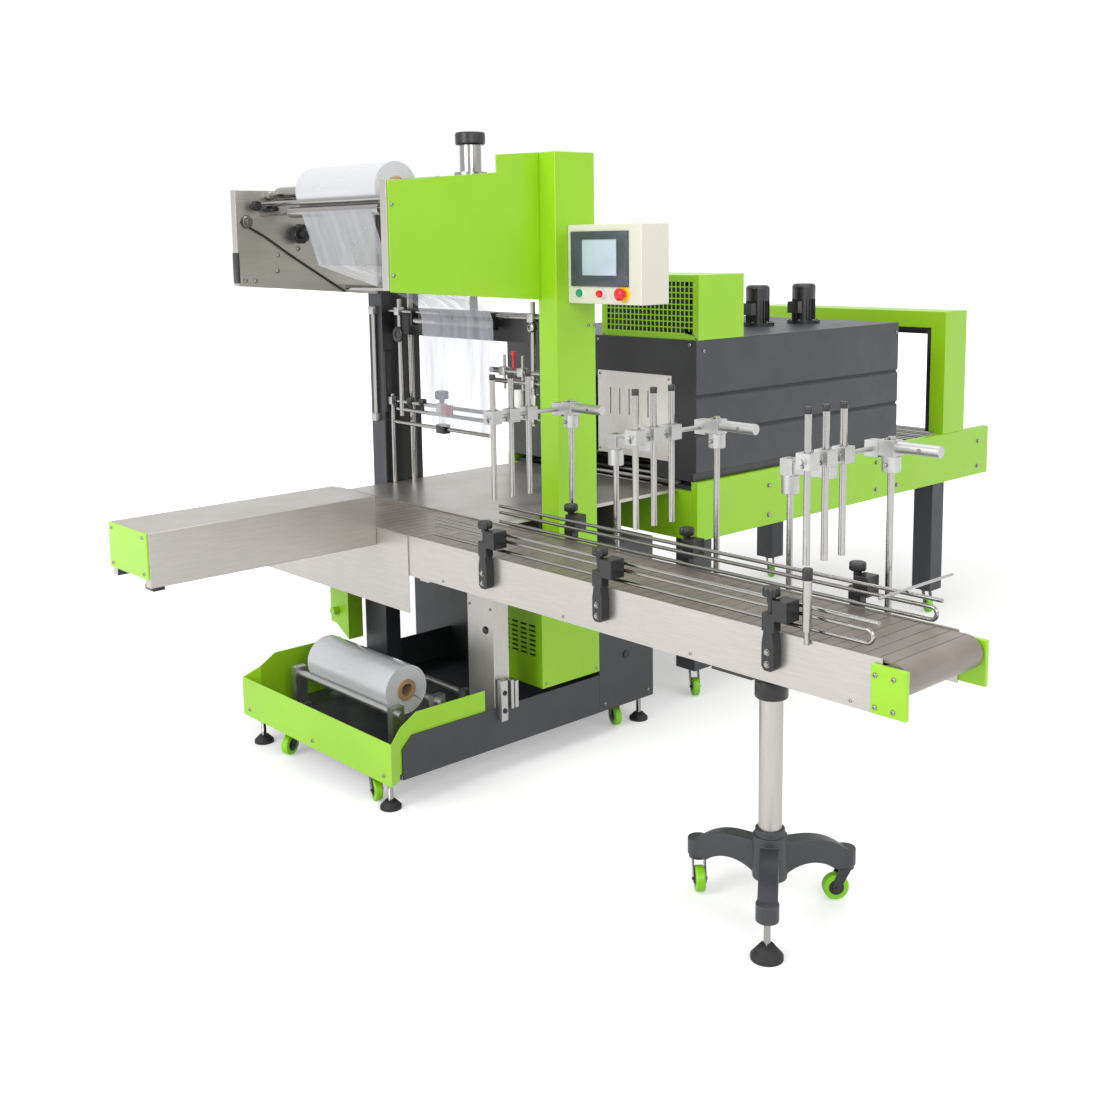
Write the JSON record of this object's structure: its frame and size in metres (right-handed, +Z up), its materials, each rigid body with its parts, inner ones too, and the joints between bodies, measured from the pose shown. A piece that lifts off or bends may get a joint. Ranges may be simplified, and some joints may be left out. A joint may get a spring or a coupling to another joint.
{
  "type": "shrink wrapping machine",
  "caption": "Sleeve wrapping machine with infeed conveyor, pusher, film unwinders, vertical sealing portal, shrink tunnel and exit frame.",
  "frame": {"origin": "on the floor, under the middle of the machine's bounding box", "axes": "+X is the way the packs travel, from pusher to exit frame; +Y is the way the infeed conveyor runs; +Z up"},
  "size_m": [3.81, 2.584, 1.985],
  "materials": {
    "aluminium": "satin anodised",
    "black_plastic": "fine moulded grain",
    "box_paint": "semi-gloss powder coat",
    "caster_steel": "satin black",
    "chrome": "polished",
    "film": "glossy, partly clear",
    "green_paint": "semi-gloss powder coat",
    "grey_paint": "satin powder coat",
    "motor_paint": "satin",
    "slat": "satin",
    "stainless": "brushed",
    "wheel_rubber": "satin polyurethane"
  },
  "bodies": {
    "frame": {"blower_motors": "motor_paint", "cable_box": "green_paint", "control_box": "box_paint", "control_panel": "black_plastic", "conveyor_chain": "slat", "conveyor_end_plates": "green_paint", "conveyor_frame": "stainless", "crosshead": "grey_paint", "entry_panel": "stainless", "exit_frame": "green_paint", "far_column": "grey_paint", "far_post": "grey_paint", "film_web": "film", "fixed_casters": "caster_steel", "front_panel": "stainless", "guide_brackets": "black_plastic", "guide_clamps": "aluminium", "guide_posts": "chrome", "guide_rails": "chrome", "levelling_feet": "black_plastic", "lift_cylinder": "chrome", "lift_cylinder_cap": "black_plastic", "lower_bed": "grey_paint", "lower_cabinet": "grey_paint", "lower_fan_box": "green_paint", "lower_roll_cradle": "aluminium", "near_column": "green_paint", "pusher_end_plate": "green_paint", "pusher_housing": "stainless", "seal_guide_rods": "chrome", "seal_table": "stainless", "stand_base": "grey_paint", "stand_collar": "black_plastic", "stand_post": "stainless", "tray_surround": "green_paint", "tunnel_beams": "green_paint", "tunnel_fan_box": "green_paint", "tunnel_housing": "grey_paint", "tunnel_legs": "grey_paint", "tunnel_rollers": "chrome", "unwinder_cover": "green_paint", "unwinder_plates": "stainless", "unwinder_rollers": "chrome"},
    "upper_roll": {"upper_film_roll": "film"},
    "lower_roll": {"lower_film_roll": "film"},
    "jaw": {"seal_jaw": "grey_paint"},
    "front_far_swivel": {"front_far_fork": "caster_steel"},
    "front_far_roller": {"front_far_wheel": "wheel_rubber"},
    "front_near_swivel": {"front_near_fork": "caster_steel"},
    "front_near_roller": {"front_near_wheel": "wheel_rubber"},
    "rear_near_swivel": {"rear_near_fork": "caster_steel"},
    "rear_near_roller": {"rear_near_wheel": "wheel_rubber"},
    "stand_rear_swivel": {"stand_rear_fork": "caster_steel"},
    "stand_rear_roller": {"stand_rear_wheel": "wheel_rubber"},
    "stand_left_swivel": {"stand_left_fork": "caster_steel"},
    "stand_left_roller": {"stand_left_wheel": "wheel_rubber"},
    "tunnel_front_swivel": {"tunnel_front_fork": "caster_steel"},
    "tunnel_front_roller": {"tunnel_front_wheel": "wheel_rubber"}
  },
  "joints": [
    {"name": "upper_roll_spin", "type": "hinge", "parent": "frame", "child": "upper_roll", "pos_m": [-1.058, 0.787, 1.79], "axis": [0, 1, 0], "continuous": true},
    {"name": "lower_roll_spin", "type": "hinge", "parent": "frame", "child": "lower_roll", "pos_m": [-1.13, 0.712, 0.265], "axis": [0, 1, 0], "continuous": true},
    {"name": "jaw_slide", "type": "slide", "parent": "frame", "child": "jaw", "axis": [0, 0, 1], "range_m": [-0.33, 0.09]},
    {"name": "front_far_turn", "type": "hinge", "parent": "frame", "child": "front_far_swivel", "pos_m": [-1.3, 0.88, 0.08], "axis": [0, 0, 1], "continuous": true},
    {"name": "front_far_roll", "type": "hinge", "parent": "front_far_swivel", "child": "front_far_roller", "pos_m": [-1.32067, 0.87248, 0.0345], "axis": [0.342, -0.9397, 0], "continuous": true},
    {"name": "front_near_turn", "type": "hinge", "parent": "frame", "child": "front_near_swivel", "pos_m": [-1.316, 0.405, 0.08], "axis": [0, 0, 1], "continuous": true},
    {"name": "front_near_roll", "type": "hinge", "parent": "front_near_swivel", "child": "front_near_roller", "pos_m": [-1.32352, 0.38433, 0.0345], "axis": [0.9397, -0.342, 0], "continuous": true},
    {"name": "rear_near_turn", "type": "hinge", "parent": "frame", "child": "rear_near_swivel", "pos_m": [-0.38, 0.35, 0.08], "axis": [0, 0, 1], "continuous": true},
    {"name": "rear_near_roll", "type": "hinge", "parent": "rear_near_swivel", "child": "rear_near_roller", "pos_m": [-0.38752, 0.32933, 0.0345], "axis": [0.9397, -0.342, 0], "continuous": true},
    {"name": "stand_rear_turn", "type": "hinge", "parent": "frame", "child": "stand_rear_swivel", "pos_m": [-0.82154, -0.90627, 0.08], "axis": [0, 0, 1], "continuous": true},
    {"name": "stand_rear_roll", "type": "hinge", "parent": "stand_rear_swivel", "child": "stand_rear_roller", "pos_m": [-0.83839, -0.89213, 0.0345], "axis": [-0.6428, -0.766, 0], "continuous": true},
    {"name": "stand_left_turn", "type": "hinge", "parent": "frame", "child": "stand_left_swivel", "pos_m": [-1.03835, -0.61855, 0.08], "axis": [0, 0, 1], "continuous": true},
    {"name": "stand_left_roll", "type": "hinge", "parent": "stand_left_swivel", "child": "stand_left_roller", "pos_m": [-1.05249, -0.6354, 0.0345], "axis": [0.766, -0.6428, 0], "continuous": true},
    {"name": "tunnel_front_turn", "type": "hinge", "parent": "frame", "child": "tunnel_front_swivel", "pos_m": [0.0403, 0.357, 0.08], "axis": [0, 0, 1], "continuous": true},
    {"name": "tunnel_front_roll", "type": "hinge", "parent": "tunnel_front_swivel", "child": "tunnel_front_roller", "pos_m": [0.02768, 0.33898, 0.0325], "axis": [0.8192, -0.5736, 0], "continuous": true}
  ]
}
